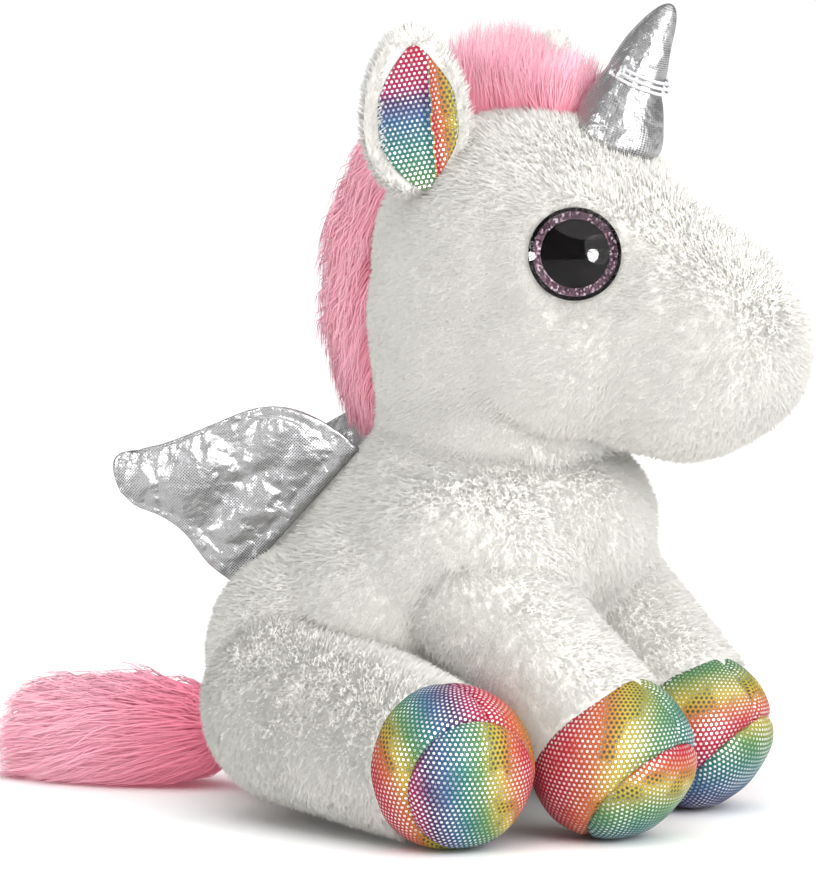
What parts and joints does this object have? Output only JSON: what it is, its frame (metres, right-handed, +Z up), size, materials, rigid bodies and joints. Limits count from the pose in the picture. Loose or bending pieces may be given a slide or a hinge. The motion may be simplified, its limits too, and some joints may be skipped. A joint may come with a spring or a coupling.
{
  "type": "plush unicorn",
  "caption": "Seated soft toy unicorn with padded wings, a stuffed horn, foil hooves and ear linings, long mane and tail; head, ears, wings, legs and tail flex at their seams.",
  "frame": {"origin": "centre of the toy's footprint box on the surface it sits on", "axes": "+Z up, the toy faces -Y, its right side is -X"},
  "size_m": [0.253, 0.34, 0.305],
  "materials": {
    "plush_white": "short cut-pile plush, matte",
    "foil_rainbow": "rainbow foil-dot knit, metallic",
    "foil_silver": "silver micro-dot foil knit, metallic",
    "hair_pink": "long soft pile",
    "tail_cloth": "knit tube",
    "stuffing": "polyester fibre fill",
    "pellet_cloth": "woven bag of plastic pellets",
    "thread": "polyester sewing thread",
    "eye_black": "polished moulded plastic",
    "eye_glitter": "fine glitter under a clear dome",
    "eye_clear": "clear moulded dome",
    "washer": "moulded lock washer"
  },
  "bodies": {
    "torso": {"torso_cover": "plush_white", "torso_stuffing": "stuffing", "pellet_bag": "pellet_cloth"},
    "neck": {"neck_cover": "plush_white", "neck_stuffing": "stuffing"},
    "head": {"head_panel_right": "plush_white", "head_panel_left": "plush_white", "head_gusset": "plush_white", "head_stuffing": "stuffing", "forelock": "hair_pink", "mane_strip": "hair_pink", "horn_cover": "foil_silver", "horn_stuffing": "stuffing", "horn_thread": "thread", "eye_back_right": "eye_black", "eye_pupil_right": "eye_black", "eye_glitter_right": "eye_glitter", "eye_lens_right": "eye_clear", "eye_washer_right": "washer", "eye_back_left": "eye_black", "eye_pupil_left": "eye_black", "eye_glitter_left": "eye_glitter", "eye_lens_left": "eye_clear", "eye_washer_left": "washer"},
    "tail_root": {"tail_stub": "tail_cloth"},
    "tail": {"tail_core": "tail_cloth", "tail_fur": "hair_pink"},
    "ear_right": {"ear_plush_right": "plush_white", "ear_lining_right": "foil_rainbow"},
    "wing_right": {"wing_back_right": "foil_silver", "wing_padding_right": "stuffing", "wing_front_right": "foil_silver"},
    "foreleg_right": {"foreleg_cover_right": "plush_white", "foreleg_stuffing_right": "stuffing", "fore_hoof_outer_right": "foil_rainbow", "fore_hoof_inner_right": "foil_rainbow", "fore_hoof_sole_right": "foil_rainbow"},
    "hindleg_right": {"hindleg_cover_right": "plush_white", "hindleg_stuffing_right": "stuffing", "hind_hoof_outer_right": "foil_rainbow", "hind_hoof_inner_right": "foil_rainbow", "hind_hoof_sole_right": "foil_rainbow"},
    "ear_left": {"ear_plush_left": "plush_white", "ear_lining_left": "foil_rainbow"},
    "wing_left": {"wing_back_left": "foil_silver", "wing_padding_left": "stuffing", "wing_front_left": "foil_silver"},
    "foreleg_left": {"foreleg_cover_left": "plush_white", "foreleg_stuffing_left": "stuffing", "fore_hoof_outer_left": "foil_rainbow", "fore_hoof_inner_left": "foil_rainbow", "fore_hoof_sole_left": "foil_rainbow"},
    "hindleg_left": {"hindleg_cover_left": "plush_white", "hindleg_stuffing_left": "stuffing", "hind_hoof_outer_left": "foil_rainbow", "hind_hoof_inner_left": "foil_rainbow", "hind_hoof_sole_left": "foil_rainbow"}
  },
  "joints": [
    {"name": "neck_nod", "type": "hinge", "parent": "torso", "child": "neck", "pos_m": [0, -0.05, 0.146], "axis": [-1, 0, 0], "range_deg": [-8, 15], "stiffness_Nm_per_rad": 2.5},
    {"name": "head_turn", "type": "hinge", "parent": "neck", "child": "head", "pos_m": [0, -0.05, 0.146], "axis": [0, 0, 1], "range_deg": [-25, 25], "stiffness_Nm_per_rad": 0.8},
    {"name": "tail_swing", "type": "hinge", "parent": "torso", "child": "tail_root", "pos_m": [0, 0.07, 0.024], "axis": [0, 0, 1], "range_deg": [-30, 30], "stiffness_Nm_per_rad": 0.06},
    {"name": "tail_lift", "type": "hinge", "parent": "tail_root", "child": "tail", "pos_m": [0, 0.07, 0.024], "axis": [1, 0, 0], "range_deg": [0, 45], "stiffness_Nm_per_rad": 0.06},
    {"name": "ear_fold_right", "type": "hinge", "parent": "head", "child": "ear_right", "pos_m": [-0.0478, -0.038, 0.23992], "axis": [0.7421, -0.653, 0.1514], "range_deg": [-20, 25], "stiffness_Nm_per_rad": 0.03},
    {"name": "wing_flap_right", "type": "hinge", "parent": "torso", "child": "wing_right", "pos_m": [-0.027, -0.002, 0.138], "axis": [-0.1412, 0.6638, -0.7344], "range_deg": [-12, 30], "stiffness_Nm_per_rad": 0.05},
    {"name": "foreleg_lift_right", "type": "hinge", "parent": "torso", "child": "foreleg_right", "pos_m": [-0.044, -0.06, 0.084], "axis": [-1, 0, 0], "range_deg": [0, 25], "stiffness_Nm_per_rad": 0.4},
    {"name": "hindleg_spread_right", "type": "hinge", "parent": "torso", "child": "hindleg_right", "pos_m": [-0.062, 0.008, 0.041], "axis": [0, 0, -1], "range_deg": [0, 25], "stiffness_Nm_per_rad": 0.4},
    {"name": "ear_fold_left", "type": "hinge", "parent": "head", "child": "ear_left", "pos_m": [0.0478, -0.038, 0.23992], "axis": [-0.7421, -0.653, 0.1514], "range_deg": [-20, 25], "stiffness_Nm_per_rad": 0.03},
    {"name": "wing_flap_left", "type": "hinge", "parent": "torso", "child": "wing_left", "pos_m": [0.027, -0.002, 0.138], "axis": [-0.1412, -0.6638, 0.7344], "range_deg": [-12, 30], "stiffness_Nm_per_rad": 0.05},
    {"name": "foreleg_lift_left", "type": "hinge", "parent": "torso", "child": "foreleg_left", "pos_m": [0.044, -0.06, 0.084], "axis": [-1, 0, 0], "range_deg": [0, 25], "stiffness_Nm_per_rad": 0.4},
    {"name": "hindleg_spread_left", "type": "hinge", "parent": "torso", "child": "hindleg_left", "pos_m": [0.062, 0.008, 0.041], "axis": [0, 0, 1], "range_deg": [0, 25], "stiffness_Nm_per_rad": 0.4}
  ]
}
